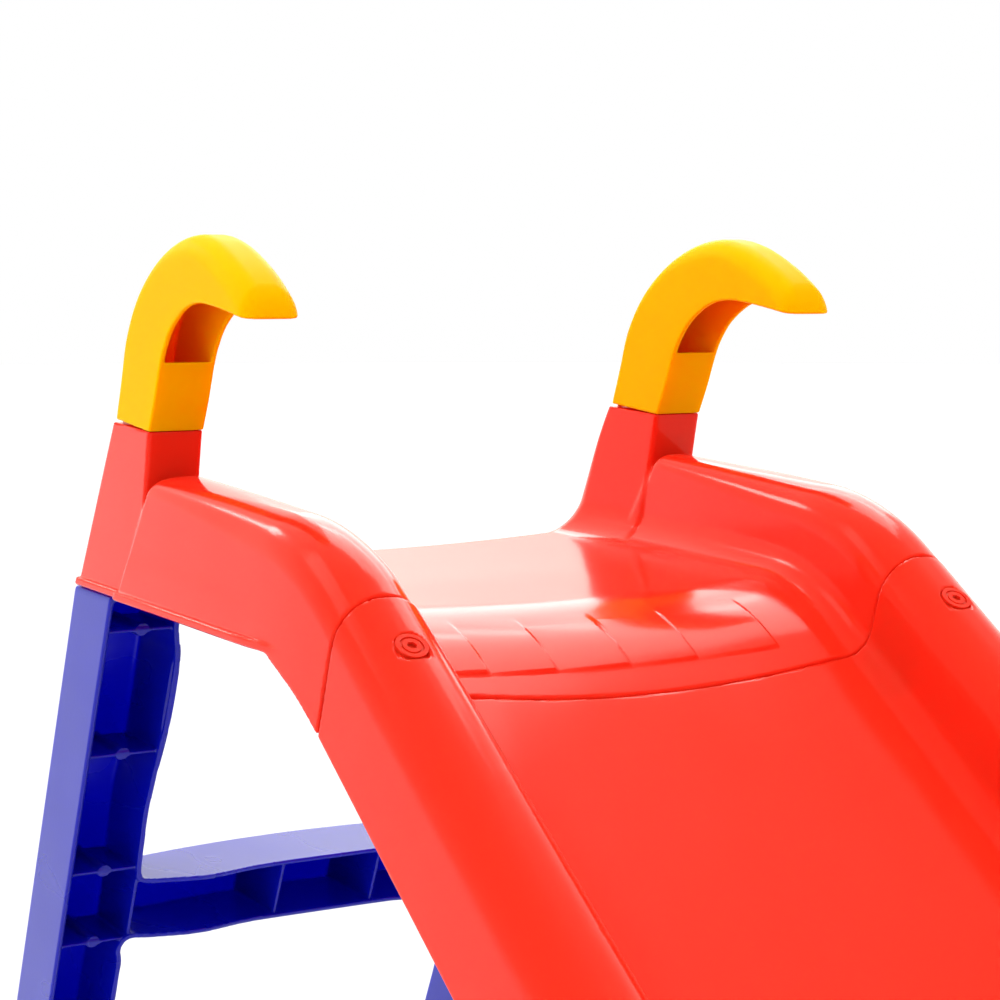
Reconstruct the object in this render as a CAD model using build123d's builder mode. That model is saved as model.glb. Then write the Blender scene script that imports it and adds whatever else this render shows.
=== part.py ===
"""Garden straight slide for small children, in millimetres.

Frame: +X runs downhill from the ladder to the exit, +Y is the slider's left, +Z is up.
The origin is on the floor, under the middle of the whole slide.

Most outlines are drawn in the side plane, whose own zero is the joint point: the rear lower
corner of a handle, where it meets its post.  Its first axis runs downhill, its second runs up.
"""

import os
from math import cos, radians, sin, tan

from build123d import *

# ---- driving dimensions -------------------------------------------------------------------
HALF_WIDTH = 220.0          # side faces of the walls, rails, handles and ladder
POST_WIDTH = 40.0           # a handle and the post under it
WALL = 4.0                  # moulded plastic, everywhere
RIB = 3.0                   # ribs and tongues
JOINT_HEIGHT = 1060.0       # handle joint above the floor
GAP = 0.5                   # shadow gap where two mouldings meet end to end
SLIP = 0.3                  # clearance where one moulding slides into another

# platform, heights measured from the joint point
SEAT = -107.0               # flat of the seat
LIP = -121.5                # lower lip of the walls
LIP_PROUD = 3.0
LIP_HEIGHT = 6.0
WALL_TOP = -37.0            # at the post
WALL_FALL = 0.048           # its slope from there to the crest
CREST_RADIUS = 160.0        # seat rolling over into the chute
WALL_CREST = 185.0          # the same on the wall tops
WALL_ROUND = 16.0           # edges of the wall tops
POST_FILLET = 10.0          # post meeting the wall top
LIP_RADIUS = 75.0           # lip turning up into the chute's lower edge
SEAT_RIBS = (60.0, 130.0, 200.0)    # cross ribs under the seat
SEAT_RIB_HEIGHT = 9.0

# chute, measured square to its bed
SLOPE = 33.5                # degrees below level
BED_START = (345.6, -147.7)  # bed at the crest joint
RAIL_TOP = 65.0
RAIL_SKIRT = -14.0
RAIL_INNER = 163.5          # inner faces of the rails and walls
RAIL_ROUND = (24.0, 22.0)   # outer and inner edge of a rail top
FOOT_RADIUS = 16.0          # where a rail meets the bed
HEADROOM = 170.0            # open space over the bed, cut clear of the walls
SEAM_LEAN = 18.7            # rail ends lean uphill of square, degrees
SEAM_SETBACK = 5.3
TONGUE = 48.0               # hidden tongue that the next moulding slides over
ROOT = 30.0                 # where the tongue grows out of its own moulding
UPPER_LENGTH = 860.0        # crest joint to middle joint
UNDER_RIB = 14.0            # cross ribs under the bed
UPPER_RIBS = (110.0, 225.0, 340.0, 455.0, 570.0, 685.0)
LOWER_RIBS = (110.0, 225.0, 340.0)
RUNOUT_RADIUS = 420.0
RUNOUT_DIP = 3.0            # degrees the run-out still falls
RUNOUT_LENGTH = 170.0
EXIT_HEIGHT = 100.0         # bed above the floor at the exit
NOSE = 34.0                 # the bed rolls over to the floor with this radius

# ladder
LADDER_LEAN = 24.7          # from upright, degrees
LADDER_REAR = (-89.0, -122.0)   # upper corners of a rail, seen from the side
LADDER_FRONT = (-14.0, -122.0)
RAIL_WIDTH = 60.0
TREAD_TOPS = (-356.0, -591.0, -826.0)
TREAD_HEIGHT = 52.0
TREAD_RIB_Y = (-42.0, 42.0)

# handles
CROWN_RADIUS = 8.0          # long edges of their backs and tops

# fasteners
BIG_HEAD = 19.0             # plastic bolts on the rail tops
BIG_SHANK = 9.0
BIG_BOLT_Y = 192.0
BIG_BOLT_S = 15.0           # from the joint, down the slope
SMALL_HEAD = 11.0
SMALL_SHANK = 5.0

TAN_SLOPE = tan(radians(SLOPE))
TAN_LEAN = tan(radians(LADDER_LEAN))


# ---- places worked out from the dimensions ------------------------------------------------
def on_slope(along, above):
    """Side-plane point that far down the chute and that far square above its bed."""
    c, s = cos(radians(SLOPE)), sin(radians(SLOPE))
    return (BED_START[0] + along * c + above * s, BED_START[1] - along * s + above * c)


def seam(above, start=0.0):
    """Side-plane point on a joint line, that far above the bed."""
    return on_slope(start - SEAM_SETBACK - above * tan(radians(SEAM_LEAN)), above)


def ladder_front(height):
    return LADDER_FRONT[0] - (LADDER_FRONT[1] - height) * TAN_LEAN


def ladder_rear(height):
    return LADDER_REAR[0] - (LADDER_REAR[1] - height) * TAN_LEAN


# the bed's corners, before they are rounded: slope into run-out, run-out over the nose
FLOOR = -JOINT_HEIGHT
nose_corner_height = FLOOR + EXIT_HEIGHT
bend_tangent = RUNOUT_RADIUS * tan(radians((SLOPE - RUNOUT_DIP) / 2))
nose_tangent = NOSE * tan(radians((90 - RUNOUT_DIP) / 2))
runout = bend_tangent + RUNOUT_LENGTH + nose_tangent
bend_corner_height = nose_corner_height + runout * sin(radians(RUNOUT_DIP))
bend_corner = on_slope((BED_START[1] - bend_corner_height) / sin(radians(SLOPE)), 0)
nose_corner = (bend_corner[0] + runout * cos(radians(RUNOUT_DIP)), nose_corner_height)
front_end = nose_corner[0] + RAIL_TOP
rear_end = ladder_rear(FLOOR)
JOINT_X = -(front_end + rear_end) / 2

SIDE = Plane(origin=(JOINT_X, 0, JOINT_HEIGHT), x_dir=(1, 0, 0), z_dir=(0, -1, 0))


def side_at(y):
    """The side plane moved to that y; a positive extrusion from it runs towards -Y."""
    return Plane(origin=(JOINT_X, y, JOINT_HEIGHT), x_dir=(1, 0, 0), z_dir=(0, -1, 0))


def across(point, fall):
    """Plane square to a path that falls by that many degrees: first axis Y, second axis up."""
    return Plane(
        origin=(JOINT_X + point[0], 0, JOINT_HEIGHT + point[1]),
        x_dir=(0, 1, 0),
        z_dir=(cos(radians(fall)), 0, -sin(radians(fall))),
    )


# ---- shared shapes ------------------------------------------------------------------------
def trough(depth, base, mode=Mode.ADD):
    """Everything under the chute's surface, taken that far below it, down to the base."""
    with BuildLine() as line:
        corners = [
            (-HALF_WIDTH + depth, base),
            (-HALF_WIDTH + depth, RAIL_TOP - depth),
            (-RAIL_INNER - depth, RAIL_TOP - depth),
            (-RAIL_INNER - depth, -depth),
            (RAIL_INNER + depth, -depth),
            (RAIL_INNER + depth, RAIL_TOP - depth),
            (HALF_WIDTH - depth, RAIL_TOP - depth),
            (HALF_WIDTH - depth, base),
        ]
        outer, inner, foot = RAIL_ROUND[0] - depth, RAIL_ROUND[1] - depth, FOOT_RADIUS + depth
        radii = [outer, inner, foot, foot, inner, outer]
        FilletPolyline(*corners, radius=radii)
        Line(corners[-1], corners[0])
    make_face(line.edges(), mode=mode)


def trough_skin(depth=0.0, base=RAIL_SKIRT):
    """Section of a chute moulding: one wall thickness, that far below the surface."""
    trough(depth, base)
    trough(depth + WALL, base - WALL, mode=Mode.SUBTRACT)


def cut_joint(start, keep_downhill):
    """Trim the part being built at a joint that leans, leaving half the shadow gap."""
    reach = 300
    way = 1 if keep_downhill else -1
    low, high = seam(-reach, start), seam(reach, start)
    with BuildSketch(SIDE) as waste:
        with BuildLine():
            Polyline(
                (low[0] + way * GAP / 2, low[1]),
                (high[0] + way * GAP / 2, high[1]),
                (high[0] - way * 3 * reach, high[1]),
                (low[0] - way * 3 * reach, low[1]),
                close=True,
            )
        make_face()
    extrude(waste.sketch, amount=HALF_WIDTH + 20, both=True, mode=Mode.SUBTRACT)


def bore(plane, diameter, depth):
    """Round hole from the plane inwards."""
    with BuildSketch(plane) as mouth:
        Circle(diameter / 2)
    extrude(mouth.sketch, amount=-depth, mode=Mode.SUBTRACT)


def rail_bolt_plane(side, start):
    """Plane on a rail top at a bolt, looking out of the rail."""
    x, z = on_slope(start + BIG_BOLT_S, RAIL_TOP)
    lean = radians(SLOPE)
    return Plane(
        origin=(JOINT_X + x, side * BIG_BOLT_Y, JOINT_HEIGHT + z),
        x_dir=(0, 1, 0),
        z_dir=(sin(lean), 0, cos(lean)),
    )


def bolt_holes(start, recess):
    """Both rail-top holes of a joint; the outer moulding has a recess for the heads."""
    for side in (-1, 1):
        plane = rail_bolt_plane(side, start)
        bore(plane, BIG_SHANK + 2 * SLIP, 20)
        if recess:
            bore(plane, BIG_HEAD + 2 * SLIP, 2.0)


def finish(part, name):
    """Label one piece, write it and say what it is."""
    part.label = name
    export_step(part, f"parts/{name}.step")
    box = part.bounding_box()
    print(f"{name}: {len(part.solids())} solids, {part.volume / 1000:.0f} cm3, {box.size}")


os.makedirs("parts", exist_ok=True)

# ---- platform: posts, side walls, seat and crest, one moulding open underneath -------------
POST_REAR = (-86.0, -3.0)       # x of the rear face at the lip and at the joint
POST_FRONT = (66.0, 60.0)       # x of the post's front face at the joint and at the wall


def wall_outline(inset, end):
    """Outline of a side wall with its post, taken in by that much; open below if inset."""
    low = LIP - (20 if inset else 0)
    slant = inset * 1.2     # along the level, through a leaning face
    top_line = on_slope(0, RAIL_TOP - inset)
    top = WALL_TOP - inset
    meet = (top_line[1] + TAN_SLOPE * top_line[0] - top - WALL_FALL * POST_FRONT[1]) / (
        TAN_SLOPE - WALL_FALL
    )
    meet_top = top - WALL_FALL * (meet - POST_FRONT[1])
    skirt_line = on_slope(0, RAIL_SKIRT)
    skirt_meet = skirt_line[0] + (skirt_line[1] - LIP) / TAN_SLOPE
    low_rear = POST_REAR[0] + (low - LIP) * (POST_REAR[1] - POST_REAR[0]) / -LIP
    with BuildLine() as line:
        rear = Line((low_rear + slant, low), (POST_REAR[1] + slant, -GAP - inset))
        joint = Line(rear @ 1, (POST_FRONT[0] - slant, -3 - GAP - inset))
        wall = FilletPolyline(
            joint @ 1,
            (POST_FRONT[1] - slant, top),
            (meet, meet_top),
            on_slope(end - (RAIL_TOP - inset) * tan(radians(SEAM_LEAN)), RAIL_TOP - inset),
            radius=[POST_FILLET + inset, WALL_CREST - inset],
        )
        if inset:
            Polyline(wall @ 1, on_slope(end, 3 * RAIL_SKIRT), rear @ 0)
        else:
            low_end = on_slope(end - RAIL_SKIRT * tan(radians(SEAM_LEAN)), RAIL_SKIRT)
            FilletPolyline(wall @ 1, low_end, (skirt_meet, LIP), rear @ 0, radius=[0.5, LIP_RADIUS])
    make_face(line.edges())


def void_section(depth):
    """Section of the open space over the seat and the bed, grown by depth into the moulding."""
    half = RAIL_INNER + depth
    with BuildLine() as line:
        FilletPolyline(
            (-half, HEADROOM), (-half, -depth), (half, -depth), (half, HEADROOM),
            radius=FOOT_RADIUS + depth,
        )
        Line((-half, HEADROOM), (half, HEADROOM))
    make_face(line.edges())


def trough_void(depth):
    """Open space over the seat and the crest, grown by depth into the moulding."""
    rear = (-140, SEAT)
    crest = (BED_START[0] + (BED_START[1] - SEAT) / TAN_SLOPE, SEAT)
    with BuildPart() as void:
        with BuildLine(SIDE) as seat_line:
            FilletPolyline(rear, crest, on_slope(160, 0), radius=CREST_RADIUS)
        with BuildSketch(across(rear, 0)) as section:
            void_section(depth)
        sweep(section.sketch, path=seat_line.line)
    return void.part


SEAM_END = -SEAM_SETBACK - GAP / 2
SPIGOT_FOOT = ((7.0, -12.0), (57.0, -12.0))     # plug of a post, seen from the side
SPIGOT_RISE = (24.0, 46.0)
SPIGOT_HALF = 15.0
HANDLE_SCREW = (13.0, 25.0)     # on the back of a handle


def post_rear(height):
    """How far along a post's rear face lies at a level."""
    return POST_REAR[0] + (height - LIP) * (POST_REAR[1] - POST_REAR[0]) / (-GAP - LIP)


LADDER_BOLT = (post_rear(-87), -87.0)


def rear_plane(point, side, normal):
    """Plane on a rear face at a fastener, looking backwards out of the object."""
    return Plane(
        origin=(JOINT_X + point[0], side * (HALF_WIDTH - POST_WIDTH / 2), JOINT_HEIGHT + point[1]),
        x_dir=(0, 1, 0),
        z_dir=normal,
    )


POST_BACK = (LIP + GAP, 0, POST_REAR[1] - POST_REAR[0])     # outward normals of the rear faces
HANDLE_BACK = (-30, 0, 15)


def platform_form(inset):
    """The platform's outer form, or with an inset, the hollow inside it."""
    void = trough_void(inset)
    with BuildPart() as form:
        with BuildSketch(SIDE):
            wall_outline(inset, SEAM_END + (60 if inset else 0))
        extrude(amount=HALF_WIDTH - inset, both=True)
        add(void, mode=Mode.SUBTRACT)
        # a post is narrower than the wall under it
        with BuildSketch(SIDE):
            with Locations((0, WALL_TOP - inset)):
                Rectangle(3 * POST_FRONT[0], 60, align=(Align.CENTER, Align.MIN))
        extrude(amount=HALF_WIDTH - POST_WIDTH + inset, both=True, mode=Mode.SUBTRACT)
        tops = form.edges().filter_by(
            lambda e: abs(e.tangent_at(0.5).Y) < 0.1
            and e.center().Z > JOINT_HEIGHT + WALL_TOP - 40
            and JOINT_X + 75 < e.center().X < JOINT_X + 340
        )
        fillet(tops, WALL_ROUND - inset)
    return form.part


def under_rib(start, along):
    """Cross rib under a chute, filling the moulding from side to side."""
    origin = on_slope(start + along, 0)
    with BuildSketch(across(origin, SLOPE)) as section:
        trough(WALL, -WALL - UNDER_RIB)
    extrude(section.sketch, amount=RIB)


def chute_tongue(start):
    """Tongue that the next moulding slides over, one wall under its surface, and its root."""
    depth = WALL + SLIP
    with BuildPart() as tongue:
        with BuildSketch(across(on_slope(start - ROOT, 0), SLOPE)):
            trough(WALL / 2, RAIL_SKIRT + 1)
            trough(depth + RIB, RAIL_SKIRT - WALL, mode=Mode.SUBTRACT)
        extrude(amount=ROOT)
        cut_joint(start - 3, keep_downhill=False)
        with BuildSketch(across(on_slope(start - ROOT + 6, 0), SLOPE)):
            trough(depth, RAIL_SKIRT + 2)
            trough(depth + RIB, RAIL_SKIRT - WALL, mode=Mode.SUBTRACT)
        extrude(amount=TONGUE + ROOT - 6)
    return tongue.part


outer_form = platform_form(0)
inner_form = platform_form(WALL)
crest_tongue = chute_tongue(0)

with BuildPart() as platform_shell:
    add(outer_form)
    add(inner_form, mode=Mode.SUBTRACT)
    # lip round the lower edge
    with BuildSketch(Plane.XY.offset(JOINT_HEIGHT + LIP)) as lip:
        rear, front = JOINT_X + POST_REAR[0], JOINT_X + 250
        middle = Location(((rear + front - LIP_PROUD) / 2, 0))
        with Locations(middle):
            Rectangle(front - rear + LIP_PROUD, 2 * (HALF_WIDTH + LIP_PROUD))
            Rectangle(front - rear - 2 * WALL, 2 * (HALF_WIDTH - WALL), mode=Mode.SUBTRACT)
        with Locations((front, 0)):
            Rectangle(4 * WALL, 2 * (HALF_WIDTH - WALL), mode=Mode.SUBTRACT)
    extrude(amount=LIP_HEIGHT)
    # plugs that the handles slide over, and the bosses' holes for their screws
    for side in (-1, 1):
        with BuildSketch(side_at(side * (HALF_WIDTH - POST_WIDTH / 2))):
            foot_rear, foot_front = SPIGOT_FOOT
            with BuildLine():
                Polyline(
                    foot_rear,
                    foot_front,
                    (foot_front[0] + SPIGOT_RISE[0], foot_front[1] + SPIGOT_RISE[1]),
                    (foot_rear[0] + SPIGOT_RISE[0], foot_rear[1] + SPIGOT_RISE[1]),
                    close=True,
                )
            make_face()
        extrude(amount=SPIGOT_HALF, both=True)
        bore(rear_plane(HANDLE_SCREW, side, HANDLE_BACK), SMALL_SHANK + SLIP, 30)
        bore(rear_plane(LADDER_BOLT, side, POST_BACK), SMALL_SHANK + 2 * SLIP, 12)
    add(crest_tongue)
    bolt_holes(0, recess=False)
    for along in SEAT_RIBS:
        with BuildSketch(Plane.YZ.offset(JOINT_X + along)):
            with Locations((0, JOINT_HEIGHT + SEAT - WALL - SEAT_RIB_HEIGHT / 2 + 0.5)):
                Rectangle(2 * (HALF_WIDTH - WALL) + 1, SEAT_RIB_HEIGHT)
        extrude(amount=RIB)
    finish(platform_shell.part, "platform_shell")


# ---- handles: hollow hooks, open underneath ---------------------------------------------------
def hook_outline(inset):
    """Side view of a handle, or with an inset, of the channel inside it."""
    low = -20.0 if inset else 0.0
    with BuildLine() as line:
        back = Spline(
            (inset * 1.15, low),
            (29 + inset * 0.8, 56 - inset * 0.5),
            (77 + inset * 0.5, 104 - inset * 0.8),
            (130, 124 - inset),
            tangents=[(0.4, 1), (1, 0)],
            tangent_scalars=[0.6, 1],
        )
        nose = Spline(
            back @ 1,
            (196 - inset * 0.4, 103.5 - inset),
            (237 - inset * 2, 74),
            tangents=[(1, 0), (0.65, -1)],
        )
        if inset:
            Polyline(
                nose @ 1, (205, 60), (150, 60), (105, 35), (91 - inset, 48), (66 - inset, low), back @ 0
            )
        else:
            arch = Spline(nose @ 1, (155, 83), (111, 66), (91, 44), tangents=[(-1, 0.15), (-0.45, -1)])
            Polyline(arch @ 1, (66, -3), back @ 0)
    make_face(line.edges())


def handle(side):
    """One hook handle with the hole for its screw."""
    middle = side * (HALF_WIDTH - POST_WIDTH / 2)
    with BuildPart() as hook:
        with BuildSketch(side_at(middle)):
            hook_outline(0)
        extrude(amount=POST_WIDTH / 2, both=True)
        crown = hook.edges().filter_by(
            lambda e: abs(e.tangent_at(0.5).Y) < 0.1 and e.length > 60
            and (e.center().Z > JOINT_HEIGHT + 90 or e.center().X < JOINT_X + 60)
            and e.center().Z > JOINT_HEIGHT + 30
        )
        fillet(crown, CROWN_RADIUS)
        with BuildSketch(side_at(middle)):
            hook_outline(WALL)
        extrude(amount=POST_WIDTH / 2 - WALL, both=True, mode=Mode.SUBTRACT)
        bore(rear_plane(HANDLE_SCREW, side, HANDLE_BACK), SMALL_SHANK + 2 * SLIP, 12)
        # flat seat for the screw's head
        seat_plane = rear_plane(HANDLE_SCREW, side, HANDLE_BACK)
        bore(seat_plane.offset(10), SMALL_HEAD + 2, 10)
    return hook.part


SIDES = {"left": 1, "right": -1}
for name, side in SIDES.items():
    finish(handle(side), f"handle_{name}")


# ---- chute: two mouldings, each slid over the tongue of the one above it -----------------------
middle_tongue = chute_tongue(UPPER_LENGTH)

with BuildPart() as chute_upper:
    with BuildSketch(across(on_slope(-60, 0), SLOPE)):
        trough_skin()
    extrude(amount=UPPER_LENGTH + 120)
    cut_joint(0, keep_downhill=True)
    cut_joint(UPPER_LENGTH, keep_downhill=False)
    add(middle_tongue)
    for along in UPPER_RIBS:
        under_rib(0, along)
    bolt_holes(0, recess=True)
    bolt_holes(UPPER_LENGTH, recess=False)
    finish(chute_upper.part, "chute_upper")

with BuildPart() as chute_lower:
    # the bed's line: down the slope, along the run-out, over the nose and down to the floor
    with BuildLine(SIDE) as bed_line:
        start = on_slope(UPPER_LENGTH - 60, 0)
        FilletPolyline(
            start, bend_corner, nose_corner, (nose_corner[0], FLOOR), radius=[RUNOUT_RADIUS, NOSE]
        )
    with BuildSketch(across(start, SLOPE)) as section:
        trough_skin()
    sweep(section.sketch, path=bed_line.line)
    cut_joint(UPPER_LENGTH, keep_downhill=True)
    for along in LOWER_RIBS:
        under_rib(UPPER_LENGTH, along)
    bolt_holes(UPPER_LENGTH, recess=True)
    finish(chute_lower.part, "chute_lower")


# ---- ladder: two ribbed rails, open towards the slide, with three treads ----------------------
TENON_HALF = 13.0
TENON_REAR = (-68.0, -122.0)
TENON_FRONT = (-20.0, -122.0)
TENON_HEIGHT = 40.0
FLANGE_Y = HALF_WIDTH - RAIL_WIDTH


def rail_block(top, bottom, rear_inset, front_inset):
    """Piece of a rail's side view between two levels."""
    with BuildLine() as line:
        Polyline(
            (ladder_rear(top) + rear_inset, top),
            (ladder_front(top) + front_inset, top),
            (ladder_front(bottom) + front_inset, bottom),
            (ladder_rear(bottom) + rear_inset, bottom),
            close=True,
        )
    make_face(line.edges())


def rib_levels():
    """Levels of the ribs inside a rail: one at each face of a tread, the rest between them."""
    levels = [LADDER_FRONT[1] - WALL / 2, -172.0, -248.0]
    for tread in TREAD_TOPS:
        if tread != TREAD_TOPS[0]:
            levels.append(tread + (TREAD_TOPS[0] - TREAD_TOPS[1] - TREAD_HEIGHT) / 2)
        levels += [tread - WALL / 2, tread - TREAD_HEIGHT + WALL / 2]
    levels += [(TREAD_TOPS[-1] - TREAD_HEIGHT + FLOOR) / 2, FLOOR + WALL / 2]
    return levels


def tread_block(top, rear_inset, front_inset, shrink):
    """Side view of a tread, or of the pocket in it."""
    low, high = top - TREAD_HEIGHT + shrink, top - shrink
    with BuildLine() as line:
        Polyline(
            (ladder_rear(high) - 4 + rear_inset, high),
            (ladder_front(high) + 9 + front_inset, high),
            (ladder_front(low) + 9 + front_inset, low),
            (ladder_rear(low) - 4 + rear_inset, low),
            close=True,
        )
    make_face(line.edges())


with BuildPart() as ladder:
    levels = rib_levels()
    for side in (-1, 1):
        middle = side * (HALF_WIDTH - RAIL_WIDTH / 2)
        with BuildSketch(side_at(middle)) as block:
            rail_block(LADDER_FRONT[1], FLOOR, 0, 0)
        extrude(block.sketch, amount=RAIL_WIDTH / 2, both=True)
        with BuildSketch(side_at(middle)) as pockets:
            for upper, lower in zip(levels, levels[1:]):
                rail_block(upper - RIB / 2, lower + RIB / 2, WALL / cos(radians(LADDER_LEAN)), 30)
        extrude(pockets.sketch, amount=RAIL_WIDTH / 2 - WALL, both=True, mode=Mode.SUBTRACT)
        # tenon that reaches up into the post
        rise = (TENON_HEIGHT * TAN_LEAN, TENON_HEIGHT)
        with BuildSketch(side_at(side * (HALF_WIDTH - POST_WIDTH / 2 + 1))) as tenon:
            with BuildLine():
                Polyline(
                    TENON_REAR,
                    TENON_FRONT,
                    (TENON_FRONT[0] + rise[0], TENON_FRONT[1] + rise[1]),
                    (TENON_REAR[0] + rise[0], TENON_REAR[1] + rise[1]),
                    close=True,
                )
            make_face()
        extrude(tenon.sketch, amount=TENON_HALF, both=True)
        with BuildSketch(side_at(side * (HALF_WIDTH - POST_WIDTH / 2 + 1))) as slot:
            with BuildLine():
                Polyline(
                    (TENON_REAR[0] + 5, TENON_REAR[1] + 1),
                    (TENON_FRONT[0] + 30, TENON_FRONT[1] + 1),
                    (TENON_FRONT[0] + 30 + rise[0], TENON_FRONT[1] + rise[1] - WALL),
                    (TENON_REAR[0] + 5 + rise[0], TENON_REAR[1] + rise[1] - WALL),
                    close=True,
                )
            make_face()
        extrude(slot.sketch, amount=TENON_HALF - RIB, both=True, mode=Mode.SUBTRACT)
        bore(rear_plane(LADDER_BOLT, side, POST_BACK), SMALL_SHANK + 2 * SLIP, 26)
    for top in TREAD_TOPS:
        with BuildSketch(SIDE) as block:
            tread_block(top, 0, 0, 0)
        extrude(block.sketch, amount=FLANGE_Y + 1, both=True)
        ribs = [-FLANGE_Y, *TREAD_RIB_Y, FLANGE_Y]
        for low_y, high_y in zip(ribs, ribs[1:]):
            with BuildSketch(side_at((low_y + high_y) / 2)) as pocket:
                tread_block(top, WALL, 30, WALL)
            extrude(pocket.sketch, amount=(high_y - low_y) / 2 - RIB / 2, both=True, mode=Mode.SUBTRACT)
    finish(ladder.part, "ladder")


# ---- fasteners --------------------------------------------------------------------------------
def big_bolt(side, start):
    """Plastic bolt in a rail top: a ringed head with a hexagonal socket."""
    plane = rail_bolt_plane(side, start)
    with BuildPart() as bolt:
        with BuildSketch(plane.offset(-2)):
            Circle(BIG_HEAD / 2)
        extrude(amount=2.5)
        with BuildSketch(plane.offset(0.5)):
            Circle(BIG_HEAD / 2 - 2.5)
            Circle(BIG_HEAD / 2 - 4, mode=Mode.SUBTRACT)
        extrude(amount=-1, mode=Mode.SUBTRACT)
        with BuildSketch(plane.offset(-2)):
            Circle(BIG_SHANK / 2)
        extrude(amount=-22)
        with BuildSketch(plane.offset(0.5)):
            RegularPolygon(3, 6)
        extrude(amount=-6, mode=Mode.SUBTRACT)
    return bolt.part


def big_nut(side, start):
    """Winged plastic nut under a rail top."""
    plane = rail_bolt_plane(side, start).offset(-(2 * WALL + 2 * SLIP) - 0.2)
    with BuildPart() as nut:
        with BuildSketch(plane):
            Circle(9)
            Rectangle(5, 30)
            Circle(BIG_SHANK / 2 + 0.1, mode=Mode.SUBTRACT)
        extrude(amount=-8)
    return nut.part


def small_screw(plane, head_out, length):
    """Pan-head screw with a cross socket."""
    with BuildPart() as screw:
        with BuildSketch(plane.offset(head_out)):
            Circle(SMALL_HEAD / 2)
        extrude(amount=2.6, taper=12)
        with BuildSketch(plane.offset(head_out)):
            Circle(SMALL_SHANK / 2)
        extrude(amount=-length)
        with BuildSketch(plane.offset(head_out + 2.6)):
            Rectangle(5, 1.2)
            Rectangle(1.2, 5)
        extrude(amount=-1.8, mode=Mode.SUBTRACT)
    return screw.part


def small_nut(side):
    """Hexagonal nut inside a ladder tenon."""
    plane = rear_plane(LADDER_BOLT, side, POST_BACK).offset(-21)
    with BuildPart() as nut:
        with BuildSketch(plane):
            RegularPolygon(4.6, 6)
            Circle(SMALL_SHANK / 2 + 0.1, mode=Mode.SUBTRACT)
        extrude(amount=-4)
    return nut.part


for name, side in SIDES.items():
    for joint, start in (("crest", 0), ("middle", UPPER_LENGTH)):
        finish(big_bolt(side, start), f"{joint}_bolt_{name}")
        finish(big_nut(side, start), f"{joint}_nut_{name}")
    finish(small_screw(rear_plane(HANDLE_SCREW, side, HANDLE_BACK), 0, 22), f"handle_screw_{name}")
    finish(small_screw(rear_plane(LADDER_BOLT, side, POST_BACK), 0, 30), f"ladder_bolt_{name}")
    finish(small_nut(side), f"ladder_nut_{name}")
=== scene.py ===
"""Looks of the garden slide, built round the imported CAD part.

Shapes are worked out in millimetres in the side frame: x downhill, y to the slider's left, z up,
zero at the lower rear corner of a handle.  They are turned into metres in the row frame at the end.
"""

import math

import bpy
import numpy as np
import openvdb
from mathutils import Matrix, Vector


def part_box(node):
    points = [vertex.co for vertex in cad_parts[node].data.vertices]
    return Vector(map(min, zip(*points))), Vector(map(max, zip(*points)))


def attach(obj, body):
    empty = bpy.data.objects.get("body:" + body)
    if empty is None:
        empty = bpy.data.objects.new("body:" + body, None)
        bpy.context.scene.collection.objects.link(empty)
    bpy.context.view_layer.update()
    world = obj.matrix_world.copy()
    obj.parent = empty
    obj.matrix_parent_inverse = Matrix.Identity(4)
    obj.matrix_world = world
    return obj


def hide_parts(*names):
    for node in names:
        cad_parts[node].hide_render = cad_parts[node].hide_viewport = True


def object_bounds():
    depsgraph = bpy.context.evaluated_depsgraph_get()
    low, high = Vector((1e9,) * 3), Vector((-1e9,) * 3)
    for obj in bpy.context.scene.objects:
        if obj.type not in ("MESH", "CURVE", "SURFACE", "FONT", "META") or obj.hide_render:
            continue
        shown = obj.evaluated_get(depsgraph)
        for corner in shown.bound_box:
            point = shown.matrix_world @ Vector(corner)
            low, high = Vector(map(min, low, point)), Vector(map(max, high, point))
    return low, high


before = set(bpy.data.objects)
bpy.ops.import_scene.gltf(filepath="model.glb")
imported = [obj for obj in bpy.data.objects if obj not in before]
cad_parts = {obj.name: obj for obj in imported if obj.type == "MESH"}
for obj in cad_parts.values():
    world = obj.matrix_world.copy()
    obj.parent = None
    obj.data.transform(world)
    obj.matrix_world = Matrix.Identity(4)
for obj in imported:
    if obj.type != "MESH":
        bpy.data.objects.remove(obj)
CAD_LOW, CAD_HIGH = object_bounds()
MM = 0.001
JOINT_DROP, JOINT_LENGTH = 3.0, 66.0     # the joint under a handle is lower at its front
JOINT_FALL = JOINT_DROP / JOINT_LENGTH
HANDLE_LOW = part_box("handle_left")[0]
JOINT = np.array([HANDLE_LOW.x, 0.0, HANDLE_LOW.z + JOINT_DROP * MM])
FLOOR = -JOINT[2] / MM

# ---- layout shared with the CAD -----------------------------------------------------------
SLOPE = math.radians(33.5)
LEAN = math.tan(math.radians(18.7))      # rail ends at a joint lean uphill of square
SETBACK = 5.3
BED_START = (345.6, -147.7)
RAIL_TOP = 65.0
WALL = 4.0
GAP = 0.6                                # half the open seam at a joint
LAP_LENGTH, LAP_SHIFT = 42.0, 8.0        # half the lap under a joint, and its middle past the seam
LAP_DEPTH = 3.4                          # how far the lap reaches in from the wall
SIDE_Y = 200.0                           # middle of a handle and of the post under it
POST_REAR = ((-3, -0.5), (-80, -118))    # faces of a post, seen from the side
POST_FRONT = ((66, -3.5), (20, -200))
UPPER_LENGTH = 860.0
RUNOUT_RADIUS, RUNOUT_DIP, RUNOUT_LENGTH, NOSE = 420.0, math.radians(3.0), 170.0, 34.0
EXIT_HEIGHT = 100.0
LADDER_TAN = math.tan(math.radians(24.7))
LADDER_FRONT, LADDER_TOP, LADDER_DEPTH = -14.0, -122.0, 75.0
TREADS = (-356.0, -591.0, -826.0)
TREAD_HEIGHT = 52.0


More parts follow.
